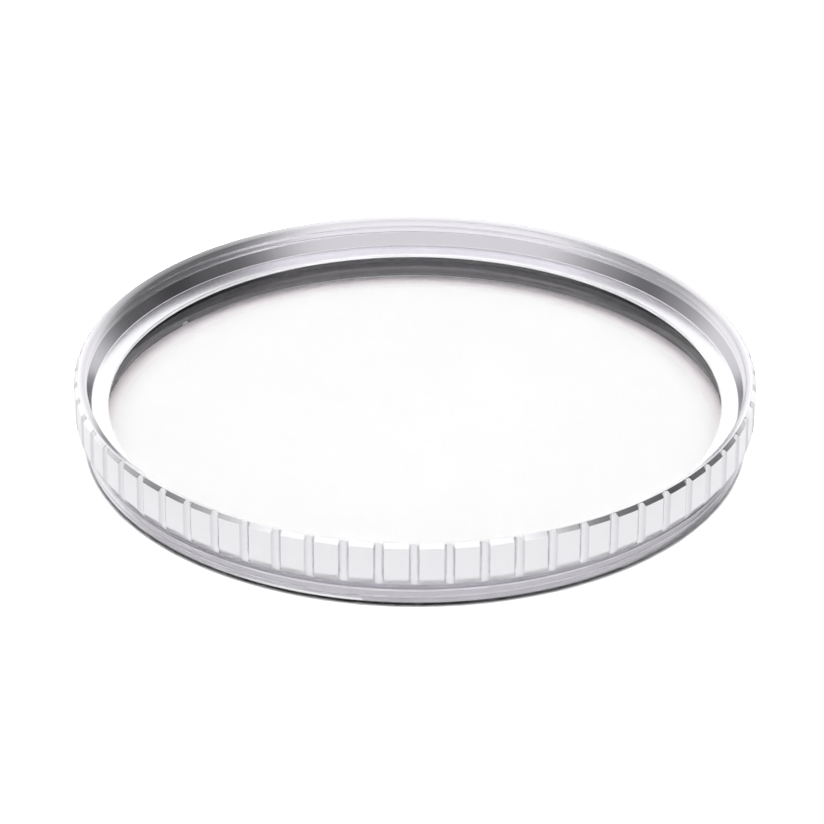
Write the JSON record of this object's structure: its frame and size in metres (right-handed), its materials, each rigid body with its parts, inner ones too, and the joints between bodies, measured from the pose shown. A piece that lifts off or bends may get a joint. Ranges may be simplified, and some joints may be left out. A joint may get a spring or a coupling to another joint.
{
  "type": "screw-in lens filter",
  "caption": "Round clear lens filter: a coated glass disc in a bright grooved aluminium rim, with a female thread in front and a male thread behind, held by a black ring.",
  "frame": {"origin": "on the optical axis, in the plane of the rear edge of the male thread, on which the filter lies", "axes": "+Z along the optical axis to the front of the filter; -Y towards the viewer and +X to the right in the picture"},
  "size_m": [0.074, 0.074, 0.008],
  "materials": {
    "rim_aluminium": "fine-turned aluminium, clear satin anodised",
    "coated_glass": "polished optical glass, anti-reflection coated on both faces",
    "ring_black": "turned aluminium, matt black anodised"
  },
  "bodies": {
    "root": {"rim": "rim_aluminium", "glass": "coated_glass", "retaining_ring": "ring_black"}
  },
  "joints": []
}
